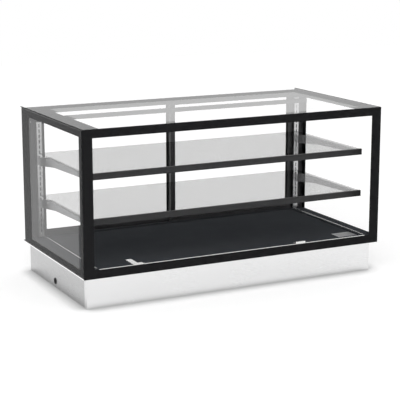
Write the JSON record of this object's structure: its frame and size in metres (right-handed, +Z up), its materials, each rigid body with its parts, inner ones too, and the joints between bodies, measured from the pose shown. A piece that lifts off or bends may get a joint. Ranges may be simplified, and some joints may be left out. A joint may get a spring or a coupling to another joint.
{
  "type": "drop-in heated display case",
  "caption": "Square glass heated food display for dropping into a counter, with hook-on shelves, a heated deck and rear sliding doors.",
  "frame": {"origin": "floor level under the middle of the case, centre of the bounding box's bottom face", "axes": "+X along the front to the right as the customer sees it, +Y to the service side with the sliding doors, +Z up"},
  "size_m": [1.2, 0.625, 0.632],
  "materials": {
    "clear_glass": "polished",
    "black_print": "glossy black print behind glass",
    "black_rubber": "matt",
    "dark_metal": "satin dark grey",
    "stainless": "brushed",
    "deck_enamel": "gloss black",
    "vent_grey": "satin grey",
    "black_plastic": "fine matt",
    "opal_plastic": "opal",
    "mineral_board": "fibrous board",
    "driver_case": "white"
  },
  "bodies": {
    "cabinet": {"front_glass": "clear_glass", "left_glass": "clear_glass", "right_glass": "clear_glass", "top_glass": "clear_glass", "front_border": "black_print", "left_border": "black_print", "right_border": "black_print", "top_border": "black_print", "glazing_seals": "black_rubber", "flange_gasket": "black_rubber", "cable_grommet": "black_rubber", "door_header": "dark_metal", "door_sill": "dark_metal", "rear_posts": "dark_metal", "lamp_housing": "dark_metal", "mounting_flange": "stainless", "base_front_panel": "stainless", "base_left_panel": "stainless", "base_right_panel": "stainless", "base_rear_panel": "stainless", "base_floor": "stainless", "panel_rivets": "stainless", "uprights": "stainless", "control_panel": "stainless", "air_duct": "stainless", "temperature_bulb": "stainless", "heating_elements": "stainless", "deck_tray": "deck_enamel", "deck_channels": "deck_enamel", "air_grille": "deck_enamel", "return_vent": "vent_grey", "fan_frames": "black_plastic", "terminal_block": "black_plastic", "thermostat": "black_plastic", "switch_bodies": "black_plastic", "lamp_diffuser": "opal_plastic", "insulation": "mineral_board", "lamp_driver": "driver_case"},
    "left_door": {"door_left_frame": "dark_metal", "door_left_glass": "clear_glass", "door_left_glides": "black_plastic", "door_left_pull": "dark_metal"},
    "right_door": {"door_right_frame": "dark_metal", "door_right_glass": "clear_glass", "door_right_glides": "black_plastic", "door_right_pull": "dark_metal"},
    "upper_shelf": {"upper_shelf_glass": "clear_glass", "upper_shelf_trim": "dark_metal", "upper_shelf_arm_left": "stainless", "upper_shelf_arm_right": "stainless"},
    "middle_shelf": {"middle_shelf_glass": "clear_glass", "middle_shelf_trim": "dark_metal", "middle_shelf_arm_left": "stainless", "middle_shelf_arm_right": "stainless"},
    "left_fan": {"fan_impeller_left": "black_plastic"},
    "right_fan": {"fan_impeller_right": "black_plastic"},
    "thermostat_dial": {"thermostat_knob": "black_plastic"},
    "power_switch": {"power_rocker": "black_plastic"},
    "lamp_switch": {"lamp_rocker": "black_plastic"}
  },
  "joints": [
    {"name": "left_door_slide", "type": "slide", "parent": "cabinet", "child": "left_door", "axis": [1, 0, 0], "range_m": [0, 0.545]},
    {"name": "right_door_slide", "type": "slide", "parent": "cabinet", "child": "right_door", "axis": [1, 0, 0], "range_m": [-0.545, 0]},
    {"name": "upper_shelf_lift", "type": "slide", "parent": "cabinet", "child": "upper_shelf", "axis": [0, 0, 1], "range_m": [0, 0.005]},
    {"name": "middle_shelf_lift", "type": "slide", "parent": "cabinet", "child": "middle_shelf", "axis": [0, 0, 1], "range_m": [0, 0.005]},
    {"name": "left_fan_spin", "type": "hinge", "parent": "cabinet", "child": "left_fan", "pos_m": [-0.26, -0.058, 0.045], "axis": [0, 0, 1], "continuous": true},
    {"name": "right_fan_spin", "type": "hinge", "parent": "cabinet", "child": "right_fan", "pos_m": [0.26, -0.058, 0.045], "axis": [0, 0, 1], "continuous": true},
    {"name": "thermostat_turn", "type": "hinge", "parent": "cabinet", "child": "thermostat_dial", "pos_m": [-0.455, 0.3, 0.05775], "axis": [0, -1, 0], "range_deg": [-135, 135]},
    {"name": "power_switch_rock", "type": "hinge", "parent": "cabinet", "child": "power_switch", "pos_m": [-0.3856, 0.299, 0.05775], "axis": [1, 0, 0], "range_deg": [0, 14]},
    {"name": "lamp_switch_rock", "type": "hinge", "parent": "cabinet", "child": "lamp_switch", "pos_m": [-0.3496, 0.299, 0.05775], "axis": [1, 0, 0], "range_deg": [0, 14]}
  ]
}
